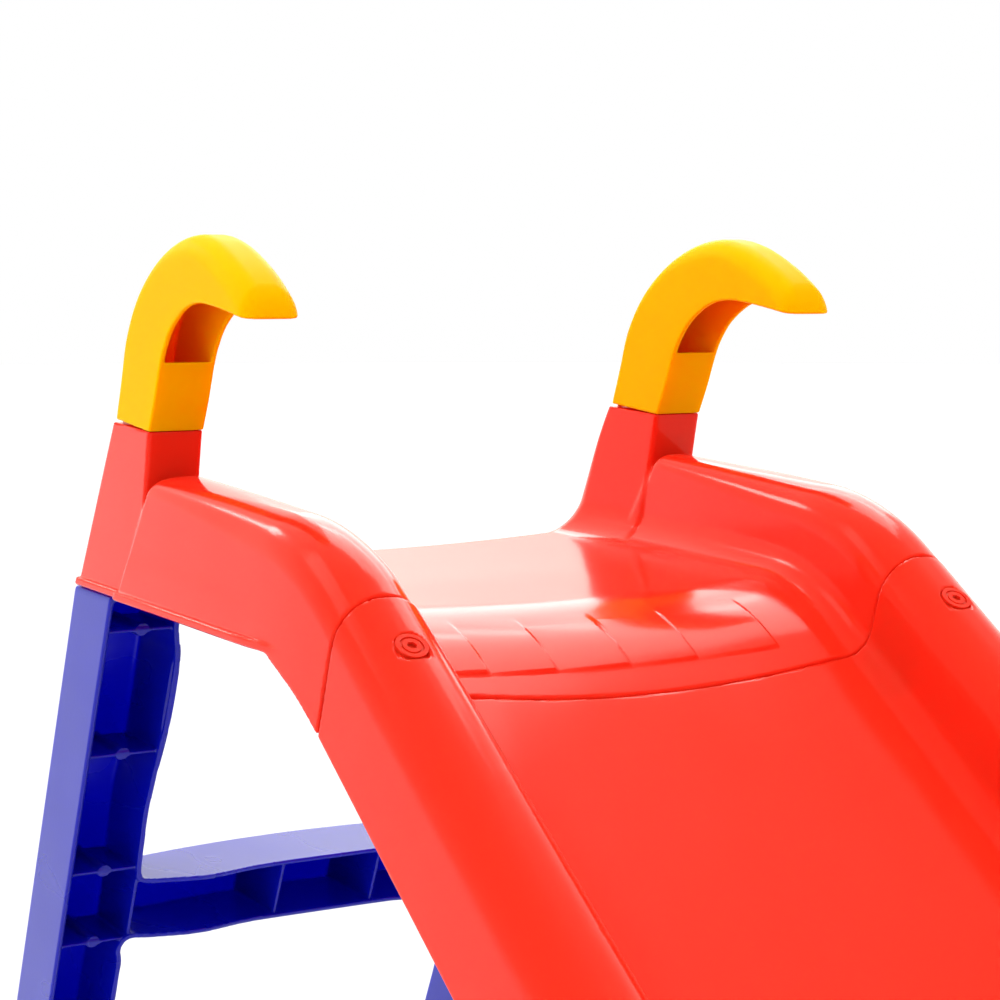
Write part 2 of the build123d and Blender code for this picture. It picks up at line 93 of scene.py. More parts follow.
def on_slope(along, above):
    c, s = math.cos(SLOPE), math.sin(SLOPE)
    return (BED_START[0] + along * c + above * s, BED_START[1] - along * s + above * c)


# ---- signed distances -----------------------------------------------------------------------
def rmax(a, b, r):
    """Both of two solids, their shared edge rounded with radius r."""
    return np.minimum(np.maximum(a, b), -r) + np.hypot(np.maximum(a + r, 0), np.maximum(b + r, 0))


def rmin(a, b, r):
    """Either of two solids, with a fillet of radius r between them."""
    return np.maximum(np.minimum(a, b), r) - np.hypot(np.maximum(r - a, 0), np.maximum(r - b, 0))


def ramp(v, start, end):
    t = np.clip((v - start) / (end - start), 0, 1)
    return t * t * (3 - 2 * t)


def rounded(corners, step=1.5):
    """Points of a line through (x, z, radius) corners, each rounded with its radius."""
    pts = [np.array(c[:2], float) for c in corners]
    out = []
    for i, (*_, r) in enumerate(corners):
        if r <= 0 or i in (0, len(corners) - 1):
            out.append(pts[i])
            continue
        a, b = pts[i - 1] - pts[i], pts[i + 1] - pts[i]
        a, b = a / np.linalg.norm(a), b / np.linalg.norm(b)
        half = math.acos(np.clip(a @ b, -1, 1)) / 2
        reach = r / math.tan(half)
        centre = pts[i] + (a + b) / np.linalg.norm(a + b) * r / math.sin(half)
        p, q = pts[i] + a * reach - centre, pts[i] + b * reach - centre
        turn = math.atan2(p[0] * q[1] - p[1] * q[0], p @ q)
        n = max(3, int(abs(turn) * r / step))
        for k in range(n + 1):
            t = turn * k / n
            out.append(centre + np.array([p[0] * math.cos(t) - p[1] * math.sin(t),
                                          p[0] * math.sin(t) + p[1] * math.cos(t)]))
    return np.array(out)


def spline(points, step=1.5):
    """Smooth line through points (Catmull-Rom)."""
    p = np.array(points, float)
    p = np.vstack([2 * p[0] - p[1], p, 2 * p[-1] - p[-2]])
    out = []
    for i in range(1, len(p) - 2):
        n = max(2, int(np.linalg.norm(p[i + 1] - p[i]) / step))
        for k in range(n):
            t = k / n
            out.append(0.5 * (2 * p[i] + (p[i + 1] - p[i - 1]) * t
                              + (2 * p[i - 1] - 5 * p[i] + 4 * p[i + 1] - p[i + 2]) * t * t
                              + (3 * p[i] - p[i - 1] - 3 * p[i + 1] + p[i + 2]) * t ** 3))
    out.append(p[-2])
    return np.array(out)


class Outline:
    """Signed distance to a closed outline, negative inside, read smoothly from a table."""

    def __init__(self, points, box, cell=2.0):
        self.cell = cell
        self.x0, self.z0 = box[0], box[2]
        nx, nz = int((box[1] - box[0]) / cell) + 1, int((box[3] - box[2]) / cell) + 1
        x, z = np.meshgrid(self.x0 + cell * np.arange(nx), self.z0 + cell * np.arange(nz), indexing="ij")
        best, inside = np.full(x.shape, 1e18), np.zeros(x.shape, bool)
        pts = np.asarray(points, float)
        for (ax, az), (bx, bz) in zip(pts, np.roll(pts, -1, 0)):
            ex, ez = bx - ax, bz - az
            wx, wz = x - ax, z - az
            t = np.clip((wx * ex + wz * ez) / (ex * ex + ez * ez + 1e-12), 0, 1)
            best = np.minimum(best, (wx - t * ex) ** 2 + (wz - t * ez) ** 2)
            if az != bz:
                inside ^= ((az > z) != (bz > z)) & (x < ex * (z - az) / ez + ax)
        self.table = np.where(inside, -1, 1) * np.sqrt(best)

    def __call__(self, x, z):
        x, z = np.broadcast_arrays(x, z)
        u = np.clip((x - self.x0) / self.cell, 1, self.table.shape[0] - 3)
        v = np.clip((z - self.z0) / self.cell, 1, self.table.shape[1] - 3)
        iu, iv = u.astype(int), v.astype(int)
        total = 0
        wu, wv = self._weights(u - iu), self._weights(v - iv)
        for i in range(4):
            for j in range(4):
                total = total + wu[i] * wv[j] * self.table[iu - 1 + i, iv - 1 + j]
        return total

    @staticmethod
    def _weights(t):
        return ((1 - t) ** 3 / 6, (3 * t ** 3 - 6 * t ** 2 + 4) / 6,
                (-3 * t ** 3 + 3 * t ** 2 + 3 * t + 1) / 6, t ** 3 / 6)


def slope_of(f, p, eps=0.35):
    """Value and gradient of a signed distance at points."""
    corners = np.array([(1, 1, 1), (1, -1, -1), (-1, 1, -1), (-1, -1, 1)], float)
    total, mean = 0, 0
    for c in corners:
        value = f(*(p + eps * c).T)
        total = total + value[:, None] * c
        mean = mean + value
    return mean / 4, total / (4 * eps)


def new_mesh(name, points, faces, normals=None):
    """Mesh object in the row frame, from side-frame points."""
    mesh = bpy.data.meshes.new(name)
    points = np.asarray(points, float) * MM + JOINT
    mesh.from_pydata(points.tolist(), [], [list(f) for f in faces])
    mesh.validate()
    mesh.polygons.foreach_set("use_smooth", [True] * len(mesh.polygons))
    if normals is not None:
        mesh.normals_split_custom_set_from_vertices(np.asarray(normals, float).tolist())
    mesh.update()
    piece = bpy.data.objects.new(name, mesh)
    bpy.context.scene.collection.objects.link(piece)
    return piece


def stations(*marks):
    """Coordinates from (start, step) marks; the last mark only ends them."""
    out = []
    for (a, step), (b, _) in zip(marks, marks[1:]):
        n = max(1, round((b - a) / step))
        out += list(a + (b - a) * np.arange(n) / n)
    return np.array([*out, marks[-1][0]])


def solid_mesh(f, x, y, z, mirror=False, place=None):
    """Points, faces and normals of the surface where f is zero, on a grid with those coordinates.

    With mirror, f is even in y and y holds positive values only.  place maps f's own coordinates
    to the side frame.
    """
    values = f(x[:, None, None], y[None, :, None], z[None, None, :])
    values = np.broadcast_to(values, (len(x), len(y), len(z)))
    if mirror:
        values = np.concatenate([values[:, ::-1], values], 1)
        y = np.concatenate([-y[::-1], y])
    reach = 8.0
    grid = openvdb.FloatGrid(reach)
    grid.copyFromArray(np.ascontiguousarray(np.clip(values, -reach, reach), dtype=np.float32))
    points, quads = grid.convertToQuads(0.0)
    points, quads = np.array(points, float), np.array(quads)
    p = np.stack([np.interp(points[:, i], np.arange(len(v)), v) for i, v in enumerate((x, y, z))], 1)
    # damped Newton steps bring the points from the grid's surface onto the true one
    damping, limit = 0.9, 1.5
    for _ in range(3):
        value, g = slope_of(f, p)
        g2 = np.maximum((g * g).sum(1), 0.25)
        p = p - np.clip(value / g2, -limit, limit)[:, None] * g * damping
    _, g = slope_of(f, p)
    if place is not None:
        # normals turn with the mapping, by the inverse of its derivative
        eps = 0.5
        jac = np.stack([(place(p + eps * row) - place(p - eps * row)) / (2 * eps)
                        for row in np.eye(3)], 2)
        g = np.einsum("nji,nj->ni", np.linalg.inv(jac), g)
        p = place(p)
    g = g / np.maximum(np.linalg.norm(g, axis=1), 1e-9)[:, None]
    # faces wind so that they look along the normals
    a, b, c, d = (p[quads[:, i]] for i in range(4))
    if (np.einsum("ij,ij->i", np.cross(c - a, d - b), g[quads].sum(1)) < 0).mean() > 0.5:
        quads = quads[:, ::-1]
    return p, quads, g


# ---- platform -------------------------------------------------------------------------------
BOX = (-150, 470, -290, 60)
SEAT = -105.5
SEAT_CORNER = (BED_START[0] + (BED_START[1] - SEAT) / math.tan(SLOPE), SEAT)
BED = Outline([(-900, -500), (-900, SEAT),
               *rounded([(-899, SEAT, 0), (*SEAT_CORNER, 160), (*on_slope(600, 0), 0)]),
               (900, -500)], BOX)
RIDGE = Outline([(-900, -500), (-900, 11),
                 *rounded([(-899, 11, 0), (304.9, -42.8, 185), (*on_slope(600, RAIL_TOP), 0)]),
                 (900, -500)], BOX)
LIP = -118.5                             # middle of the raised bead round the lower edge
LOWER = Outline([*spline([(-300, -121.5), (240, -121.5), (263, -122.5), (292, -133.5), (313, -143.5),
                          (338, -158.5), (378, -184), on_slope(111, -13), on_slope(700, -13)]),
                 (900, 300), (-300, 300)], BOX)
WALL_REAR = ((61, -41), (13, -111))      # where a side wall ends against the post
POST_INNER, POST_OUTER, WALL_OUTER, SEAT_EDGE = 180.4, 219.6, 220.6, 205.0
PLUG_INSET, PLUG_HALF_WIDTH, PLUG_LEVEL, PLUG_HALF_HEIGHT = 4.6, 15.3, 3.0, 20.0
FINS = (-157.0, -107.0, -59.0, -6.0, 43.0, 103.0)
GRIP_HEIGHT, GRIP_EDGE = 2.1, 2.5        # of the panels between the fins, and the width of a step


def plane(x, z, through, other):
    """Distance from a straight line seen from the side, positive on its uphill side."""
    dx, dz = other[0] - through[0], other[1] - through[1]
    size = math.hypot(dx, dz)
    return ((x - through[0]) * dz - (z - through[1]) * dx) / size


def dish(a, x):
    """How far the bed is sunk below its nominal line across the width."""
    crest = ramp(x, 120, 330)
    return (1 - crest) * (-1 + 5 * (a / 150) ** 2) + crest * np.minimum(-5 + 7.5 * (a / 135) ** 2, 2.6)


def seam_along(n, a):
    """Where a joint lies along the slope, for a height over the bed and a distance from the middle."""
    bow = 4.5 * np.clip(1 - (a / 150) ** 2, 0, 1)
    return -SETBACK - n * LEAN + bow


def slope_frame(x, z):
    """Distance along the slope and above it, the reverse of on_slope."""
    c, s = math.cos(SLOPE), math.sin(SLOPE)
    dx, dz = x - BED_START[0], z - BED_START[1]
    return dx * c - dz * s, dx * s + dz * c


def grip(along, y):
    """Height of the shallow lapped grip panels moulded over the crest."""
    rise = 0.0
    for low, high in zip(FINS, FINS[1:]):
        panel = np.minimum((y - low) / (high - low), (high + GRIP_EDGE - y) / GRIP_EDGE)
        rise = np.maximum(rise, np.clip(panel, 0, 1))
    return GRIP_HEIGHT * rise * ramp(along, -86, -45) * ramp(along, -21.5, -24.5)


def platform_outside(x, y, z):
    """The platform as if it were solid and had no lower edge.

    The core is the seat with its two posts.  A side wall follows the ridge line, leans out
    downwards and grows a rounder shoulder towards the crest; fillets join it to core and seat.
    """
    a = np.abs(y)
    along, _ = slope_frame(x, z)
    bed = BED(x, z) - dish(a, x) - grip(along, y)
    rear, front = plane(x, z, *POST_REAR), -plane(x, z, *POST_FRONT)
    low = ramp(z, -10, -95)
    post = rmax(POST_INNER - a - 1.5 * low, front, 3.5)
    core = rmax(rmin(bed, post, 24), rear, 4 + 15 * low)
    core = rmax(rmax(core, a - POST_OUTER, 2.5), z + 0.04 + x * JOINT_FALL, 0.3)
    ridge = RIDGE(x, z) + 0.008 * (a - 195) ** 2 * ramp(x, 320, 80)
    inner = np.interp(x, [50, 130, 330], [179.8, 174.5, 163.4]) - a
    outer = a - WALL_OUTER - 0.05 * np.clip(-ridge - 10, 0, 90)
    shoulder = 9 + 18.5 * ramp(x, 70, 330)
    wall = rmax(rmax(np.maximum(inner, outer), ridge, shoulder), plane(x, z, *WALL_REAR), 6)
    seat = rmax(rmax(bed, rear, 4 + 15 * low), a - SEAT_EDGE, 4)
    foot = 22 - 5 * ramp(x, 150, 330)
    return np.minimum(rmin(core, wall, 2 + 3 * ramp(a, 200, 187)), rmin(seat, wall, foot))


def platform(x, y, z):
    """The hollow platform: a shell of it, the bead round its lower edge, the lap and the plugs.

    The lap is the tongue that goes under the chute at the crest joint; a plug fills the foot of
    each handle.
    """
    a = np.abs(y)
    outside = platform_outside(x, y, z)
    body = np.maximum(outside, -(outside + WALL))
    along, above = slope_frame(x, z)
    body = rmax(body, LOWER(x, z), 1.0)
    fade = 3.0 * ramp(x, 292, 215)
    lip = rmax(np.abs(z - LIP) - 3, outside - fade, 1.2)
    body = np.minimum(body, np.maximum(lip, -(outside + WALL)))
    seam = seam_along(above, a)
    body = rmax(body, along - seam + GAP, 1.3)
    tongue = np.maximum(outside + WALL + 0.5, -(outside + WALL + LAP_DEPTH))
    tongue = np.maximum(tongue, np.abs(along - seam - LAP_SHIFT) - LAP_LENGTH)
    body = rmin(body, rmax(tongue, LOWER(x, z) + 2, 1.0), 1.5)
    post = np.maximum(plane(x, z, *POST_REAR), -plane(x, z, *POST_FRONT))
    plug = rmax(post + PLUG_INSET, np.abs(a - SIDE_Y) - PLUG_HALF_WIDTH, 2)
    plug = rmax(plug, np.abs(z - PLUG_LEVEL) - PLUG_HALF_HEIGHT, 2)
    return np.minimum(body, plug)


# ---- handles --------------------------------------------------------------------------------
HOOK_BOX = (-20, 260, -25, 150)
HOOK_END, HOOK_HALF_WIDTH = 230.5, 19.6
HOOK_BACK_WALL, HOOK_SIDE_WALL = 3.6, 3.4
CHANNEL_END = 214.0                      # the hollow underneath stops short of the tip
BACK = [(0, 0), (12, 30), (23.5, 59.5), (44, 87), (72.5, 109), (103, 122), (133, 126), (158, 122.5),
        (182, 114), (207, 101.5), (229, 86), (246, 70)]
ARCH = [(270, 72), (234, 73.2), (205, 77.5), (180, 81), (155, 82.8), (132, 79), (109, 67), (95, 53),
        (87, 40), (77.5, 19), (66, -3)]
SKIN = Outline([(-10, -20), *spline(BACK), (300, 20), (300, -200), (-10, -200)], HOOK_BOX, 1.0)
ABOVE_ARCH = Outline([(400, 72), *spline(ARCH), (-30, 5), (-60, -9), (-400, -60), (-400, 400),
                      (400, 400)], HOOK_BOX, 1.0)
PANEL = Outline([(63, -9), (83, 38), (86.5, 41), (400, 41), (400, 300), (-400, 300), (-400, -60),
                 (45, -60)], HOOK_BOX, 1.0)


def handle(x, y, z):
    """A hooked handle, hollow and open underneath, y counted from its own middle.

    The crown, where the back meets the sides, gets rounder from the foot to the bend.
    """
    bill = rmax(x - HOOK_END, np.abs(y) - HOOK_HALF_WIDTH, 12)
    crown = 4.5 + 10 * ramp(x, 10, 120)
    hook = rmax(SKIN(x, z), bill, crown)
    hook = rmax(hook, ABOVE_ARCH(x, z), 1.2)
    hook = rmax(hook, -z - x * JOINT_FALL, 0.3)
    channel = rmax(SKIN(x, z) + HOOK_BACK_WALL, bill + HOOK_SIDE_WALL, crown - 3.5)
    channel = rmax(rmax(channel, PANEL(x, z) + 2.5, 1.2), x - CHANNEL_END, 4)
    return rmax(hook, -channel, 0.8)


# ---- chute ----------------------------------------------------------------------------------
SECTION = Outline([(-150, -300), (-150, -5),
                   *spline([(-60, -3.7), (0, -5), (40, -4.4), (80, -2.4), (112, 0.2)]),
                   *rounded([(113, 0.3, 0), (161.4, 3.6, 17), (163.2, 65.4, 26.5), (219.9, 65.4, 28),
                             (223.8, -14, 0)]), (228, -300)], (-12, 240, -60, 90), 1.0)
SKIRT = -13.5                            # lower edge of the chute, below its bed
BOLT_ALONG, BOLT_ACROSS = 15.0, 192.0
RECESS_RADIUS, RECESS_DEPTH = 10.0, 1.6
CHUTE_WEB, LADDER_WEB = 1.5, 1.6         # half the thickness of a rib


def path_table():
    """Distance along the bed, its place and its fall, from the crest joint to the floor."""
    bend = RUNOUT_RADIUS * (SLOPE - RUNOUT_DIP)
    drop = math.pi / 2 - RUNOUT_DIP
    level = FLOOR + EXIT_HEIGHT
    bend_tangent = RUNOUT_RADIUS * math.tan((SLOPE - RUNOUT_DIP) / 2)
    run = bend_tangent + RUNOUT_LENGTH + NOSE * math.tan(drop / 2)
    corner_height = level + run * math.sin(RUNOUT_DIP)
    bend_start = (BED_START[1] - corner_height) / math.sin(SLOPE) - bend_tangent
    marks = np.cumsum([bend_start, bend, RUNOUT_LENGTH, NOSE * drop, EXIT_HEIGHT])
    sampling = 0.5
    s = np.arange(-200, marks[-1] + 60, sampling)
    fall = np.interp(s, [0, marks[0], marks[1], marks[2], marks[3]],
                     [SLOPE, SLOPE, RUNOUT_DIP, RUNOUT_DIP, math.pi / 2])
    half = sampling / 2
    x = np.concatenate([[0], np.cumsum(half * (np.cos(fall[1:]) + np.cos(fall[:-1])))])
    z = np.concatenate([[0], np.cumsum(-half * (np.sin(fall[1:]) + np.sin(fall[:-1])))])
    zero = np.searchsorted(s, 0)
    x, z = x - x[zero] + BED_START[0], z - z[zero] + BED_START[1]
    return s, x, z, fall, marks


PATH_S, PATH_X, PATH_Z, PATH_FALL, PATH_MARKS = path_table()
BED_END = float(np.interp(-FLOOR, -PATH_Z, PATH_S))


def on_path(p):
    """Side-frame points from (along, across, above) points of the chute."""
    s, y, n = p.T
    fall = np.interp(s, PATH_S, PATH_FALL)
    return np.stack([np.interp(s, PATH_S, PATH_X) + n * np.sin(fall), y,
                     np.interp(s, PATH_S, PATH_Z) + n * np.cos(fall)], 1)


def chute(start, end, ribs, tongue):
    """Moulding between two joints, or from a joint to the floor, in (along, across, above).

    It is a shell with cross ribs, a recess round each rail-top bolt and, with tongue, a lap that
    goes under the next length.
    """
    def f(s, y, n):
        a = np.abs(y)
        top = SECTION(a, n)
        body = rmax(np.maximum(top, -(top + WALL)), SKIRT - n, 1.0)
        for rib in ribs:
            web = np.maximum(np.maximum(np.abs(s - rib) - CHUTE_WEB, top + 1.5), SKIRT - n)
            body = rmin(body, web, 1.5)
        body = rmax(body, start + seam_along(n, a) + GAP - s, 1.6)
        recess = np.hypot(s - start - BOLT_ALONG, a - BOLT_ACROSS) - RECESS_RADIUS
        recess = np.maximum(recess, RAIL_TOP - RECESS_DEPTH - n)
        body = rmax(body, -recess, 0.7)
        if not tongue:
            return rmax(body, s - end, 1.0)
        seam = end + seam_along(n, a)
        body = rmax(body, s - seam + GAP, 1.3)
        inner = np.maximum(top + WALL + 0.4, -(top + WALL + LAP_DEPTH))
        inner = np.maximum(inner, np.abs(s - seam - LAP_SHIFT) - LAP_LENGTH)
        return rmin(body, rmax(inner, SKIRT + 2 - n, 1.0), 1.5)
    return f


# ---- ladder ---------------------------------------------------------------------------------
def ladder_face():
    """Front view of half the ladder, as a closed outline in (y, z), from the floor up."""
    line = [(219.6, -123.0), (219.6, FLOOR), (166, FLOOR)]
    corner = 22
    below = FLOOR + 3
    for tread in reversed(TREADS):
        low = tread - TREAD_HEIGHT
        mid = (below + low) / 2
        line += [*spline([(164, below + 4), (165, mid - 30), (165, mid + 25), (165, low - 24),
                          (167, low - 12)])]
        line += [*rounded([(167, low - 11, 0), (166.5, low, 9), (60, low, 0)])[1:]]
        line += [(-40, low), (-40, tread)]
        line += [*rounded([(60, tread, 0), (160.5, tread, 5), (162.5, tread + corner, 0)])[:-1]]
        below = tread + corner
    line += [*spline([(162.5, below + 2), (163, below + 45), (158.5, below + 110), (159, -175),
                      (163.5, -150), (164, -123)])]
    return Outline(line, (-20, 240, FLOOR - 20, -100), 2.0)


LADDER_FACE = ladder_face()
BOSS_Y, BOSS_RADIUS = 190.0, 5.2         # round bosses where the rail ribs cross
UPRIGHTS = (42.0, 163.0)                 # upright ribs, as distances from the middle
RAIL_RIBS = [-150.0, -248.0, -346.0]
for upper, lower in zip(TREADS, [*TREADS[1:], FLOOR + 60]):
    RAIL_RIBS += [upper - TREAD_HEIGHT, (upper - TREAD_HEIGHT + lower) / 2, lower + 10]


def ladder(w, y, z):
    """The ladder, in (distance ahead of its rails' front, y, z), open towards the slide.

    Away from the rails, step lets each tread's front swell and its rear bow outwards.
    """
    a = np.abs(y)
    face = LADDER_FACE(a, z)
    step = ramp(a, 168, 148)
    front = step * (3.5 + 11 * np.exp(-((a - 112) / 34) ** 2))
    rear = -LADDER_DEPTH + step * (14 - 24 * (1 - np.minimum(a / 165, 1) ** 2))
    block = rmax(rmax(face, w - front, 1.2), rear - w, 2.5)
    pocket = rmax(face + WALL, rear + WALL - w, 2.0)
    ribs = 1e3
    for level in RAIL_RIBS:
        bar = np.maximum(np.abs(z - level) - LADDER_WEB, w + 2.5)
        boss = np.maximum(np.hypot(a - BOSS_Y, z - level) - BOSS_RADIUS, w + 3.5)
        ribs = np.minimum(ribs, rmin(np.maximum(bar, 150 - a), boss, 1.5))
    upright = np.minimum(*(np.abs(a - place) for place in UPRIGHTS)) - LADDER_WEB
    upright = np.maximum(upright, w - front + 2.5)
    ribs = np.minimum(ribs, np.maximum(upright, face))
    pocket = rmax(pocket, -ribs, 1.2)
    return rmax(block, -pocket, 0.9)


def from_ladder(p):
    """Side-frame points from the ladder's own coordinates."""
    w, y, z = p.T
    return np.stack([w + LADDER_FRONT - (LADDER_TOP - z) * LADDER_TAN, y, z], 1)


# ---- pieces ---------------------------------------------------------------------------------
HALF_Y = stations((1, 2), (227, 2))
red, yellow, blue = [], [], []

p, faces, normals = solid_mesh(platform, stations((-100, 2), (440, 2)),
                               np.concatenate([-HALF_Y[::-1], HALF_Y]), stations((-215, 2), (27, 2)))
piece = new_mesh("platform_moulding", p, faces, normals)
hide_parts("platform_shell")
red.append(piece)

UPPER_RIBS = [110.0, 225.0, 340.0, 455.0, 570.0, 685.0]
LOWER_RIBS = [UPPER_LENGTH + v for v in (110.0, 225.0, 340.0)]


UPHILL, DOWNHILL = 34.0, 52.0            # how far the grid reaches past a joint


def chute_stations(start, end, ribs):
    """Marks along the slope, close together at the two ends and at every rib."""
    fine = 46
    marks = [(start, 2), (start + fine, 9)]
    for rib in ribs:
        marks += [(rib - 5, 2), (rib + 5, 9)]
    return marks + [(end - fine, 2), (end, 2)]


HEIGHTS = stations((-26, 2), (72, 2))
p, faces, normals = solid_mesh(chute(0, UPPER_LENGTH, UPPER_RIBS, True),
                               stations(*chute_stations(-UPHILL, UPPER_LENGTH + DOWNHILL, UPPER_RIBS)),
                               HALF_Y, HEIGHTS, mirror=True, place=on_path)
piece = new_mesh("chute_upper_moulding", p, faces, normals)
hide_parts("chute_upper")
red.append(piece)

low_marks = chute_stations(UPPER_LENGTH - UPHILL, BED_END + 6, LOWER_RIBS)[:-2]
low_marks += [(PATH_MARKS[0] - 10, 5), (PATH_MARKS[2] - 12, 2.5), (PATH_MARKS[3] + 12, 5),
              (BED_END - 8, 2), (BED_END + 6, 2)]
p, faces, normals = solid_mesh(chute(UPPER_LENGTH, BED_END, LOWER_RIBS, False), stations(*low_marks),
                               HALF_Y, HEIGHTS, mirror=True, place=on_path)
piece = new_mesh("chute_lower_moulding", p, faces, normals)
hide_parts("chute_lower")
red.append(piece)

p, faces, normals = solid_mesh(ladder, stations((-90, 2), (-66, 6), (-12, 2), (22, 2)), HALF_Y,
                               stations((FLOOR - 5, 2.5), (-117, 2.5)), mirror=True, place=from_ladder)
piece = new_mesh("ladder_moulding", p, faces, normals)
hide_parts("ladder")
blue.append(piece)

p, faces, normals = solid_mesh(handle, stations((-8, 1.5), (246, 1.5)),
                               stations((0.75, 1.5), (24.75, 1.5)), stations((-9.5, 1.5), (132, 1.5)),
                               mirror=True)
for side, name in ((1, "left"), (-1, "right")):
    piece = new_mesh(f"handle_{name}_moulding", p + np.array([0, side * SIDE_Y, 0]), faces, normals)
    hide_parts(f"handle_{name}")
    yellow.append(piece)

for slot, pieces in (("red_plastic", red), ("yellow_plastic", yellow), ("blue_plastic", blue)):
    for piece in pieces:
        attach(piece, "root")


# ---- materials ------------------------------------------------------------------------------
SCATTER = 0.02                           # metres that light travels inside the plastic
WAVE_HEIGHT = 0.0006                     # slow unevenness of a moulded face


def plastic(name, colour, roughness, peel, mottle, gloss, tint, depth):
    """Self-coloured moulding: faint flow mottling, orange peel, and patches worn less glossy.

    peel is the height of the orange peel, gloss the specular level, tint the colour of its
    reflections and depth how far each colour of light goes in, as a share of SCATTER.
    """
    material = bpy.data.materials.new(name)
    material.use_nodes = True
    nodes, links = material.node_tree.nodes, material.node_tree.links
    shader = nodes["Principled BSDF"]
    shader.inputs["IOR"].default_value = 1.49
    shader.inputs["Specular IOR Level"].default_value = gloss
    shader.inputs["Specular Tint"].default_value = (*tint, 1)
    shader.inputs["Subsurface Weight"].default_value = 0.6
    shader.inputs["Subsurface Radius"].default_value = depth
    shader.inputs["Subsurface Scale"].default_value = SCATTER
    place = nodes.new("ShaderNodeTexCoord")

    def noise(scale, detail, stretch=(1, 1, 1)):
        mapping = nodes.new("ShaderNodeMapping")
        mapping.inputs["Scale"].default_value = stretch
        links.new(place.outputs["Object"], mapping.inputs["Vector"])
        node = nodes.new("ShaderNodeTexNoise")
        node.inputs["Scale"].default_value = scale
        node.inputs["Detail"].default_value = detail
        links.new(mapping.outputs["Vector"], node.inputs["Vector"])
        return node

    flow = noise(7.0, 3.0)
    shade = nodes.new("ShaderNodeValToRGB")
    shade.color_ramp.elements[0].position = 0.3
    shade.color_ramp.elements[1].position = 0.7
    dark = [c * (1 - mottle) for c in colour]
    shade.color_ramp.elements[0].color = (*dark, 1)
    shade.color_ramp.elements[1].color = (*colour, 1)
    links.new(flow.outputs["Fac"], shade.inputs["Fac"])
    links.new(shade.outputs["Color"], shader.inputs["Base Color"])

    wear = noise(14.0, 3.0, (0.35, 1, 1))
    spread = nodes.new("ShaderNodeMapRange")
    spread.inputs["From Min"].default_value = 0.2
    spread.inputs["From Max"].default_value = 0.8
    spread.inputs["To Min"].default_value = roughness
    spread.inputs["To Max"].default_value = roughness + 0.07
    links.new(wear.outputs["Fac"], spread.inputs["Value"])
    links.new(spread.outputs["Result"], shader.inputs["Roughness"])

    skin = noise(260.0, 2.0)
    wave = noise(9.0, 1.0)
    fine, broad = nodes.new("ShaderNodeBump"), nodes.new("ShaderNodeBump")
    fine.inputs["Strength"].default_value = 1.0
    fine.inputs["Distance"].default_value = peel
    broad.inputs["Strength"].default_value = 1.0
    broad.inputs["Distance"].default_value = WAVE_HEIGHT
    links.new(wave.outputs["Fac"], broad.inputs["Height"])
    links.new(skin.outputs["Fac"], fine.inputs["Height"])
    links.new(broad.outputs["Normal"], fine.inputs["Normal"])
    links.new(fine.outputs["Normal"], shader.inputs["Normal"])
    return material


def steel(name):
    """Zinc-plated steel with fine spangle in tone and roughness."""
    material = bpy.data.materials.new(name)
    material.use_nodes = True
    nodes, links = material.node_tree.nodes, material.node_tree.links
    shader = nodes["Principled BSDF"]
    shader.inputs["Metallic"].default_value = 1.0
    place = nodes.new("ShaderNodeTexCoord")
    node = nodes.new("ShaderNodeTexNoise")
    node.inputs["Scale"].default_value = 320.0
    links.new(place.outputs["Object"], node.inputs["Vector"])
    tint = nodes.new("ShaderNodeValToRGB")
    tint.color_ramp.elements[0].color = (0.42, 0.42, 0.4, 1)
    tint.color_ramp.elements[1].color = (0.72, 0.72, 0.7, 1)
    links.new(node.outputs["Fac"], tint.inputs["Fac"])
    links.new(tint.outputs["Color"], shader.inputs["Base Color"])
    spread = nodes.new("ShaderNodeMapRange")
    spread.inputs["To Min"].default_value = 0.25
    spread.inputs["To Max"].default_value = 0.5
    links.new(node.outputs["Fac"], spread.inputs["Value"])
    links.new(spread.outputs["Result"], shader.inputs["Roughness"])
    return material


RED = plastic("red_gloss", (0.74, 0.02, 0.007), roughness=0.10, peel=0.00002, mottle=0.05, gloss=0.2,
              tint=(1, 0.8, 0.65), depth=(0.8, 0.05, 0.05))
YELLOW = plastic("yellow_gloss", (0.97, 0.37, 0.0), roughness=0.3, peel=0.00002, mottle=0.03, gloss=0.01,
                 tint=(1, 0.8, 0.1), depth=(1.0, 0.25, 0.02))
BLUE = plastic("blue_satin", (0.001, 0.004, 0.33), roughness=0.25, peel=0.00003, mottle=0.06, gloss=0.4,
               tint=(1, 1, 1), depth=(0.05, 0.1, 1.0))
STEEL = steel("zinc")

for pieces, material in ((red, RED), (yellow, YELLOW), (blue, BLUE)):
    for piece in pieces:
        piece.data.materials.append(material)
# the CAD nodes that stay: plastic bolts and nuts at the chute's joints, metal ones elsewhere
for name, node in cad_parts.items():
    if not node.hide_render:
        material = RED if "crest" in name or "middle" in name else STEEL
        node.data.materials.clear()
        node.data.materials.append(material)


# ---- stage, light and camera ----------------------------------------------------------------
LIGHT_DISTANCE = 2.6
LIGHT_TARGET = (0.15, 0, 0.95)           # x from the joint, y and height in the row frame


def emitter(name, direction, width, height, radiance):
    """Soft rectangular light, seen from the platform in that direction."""
    data = bpy.data.lights.new(name, "AREA")
    data.shape = "RECTANGLE"
    data.size, data.size_y = width, height
    data.energy = radiance * math.pi * width * height
    light = bpy.data.objects.new(name, data)
    bpy.context.scene.collection.objects.link(light)
    direction = Vector(direction).normalized()
    target = Vector((JOINT[0] + LIGHT_TARGET[0], LIGHT_TARGET[1], LIGHT_TARGET[2]))
    light.location = target + direction * LIGHT_DISTANCE
    light.rotation_euler = (-direction).to_track_quat("-Z", "Y").to_euler()
    return light


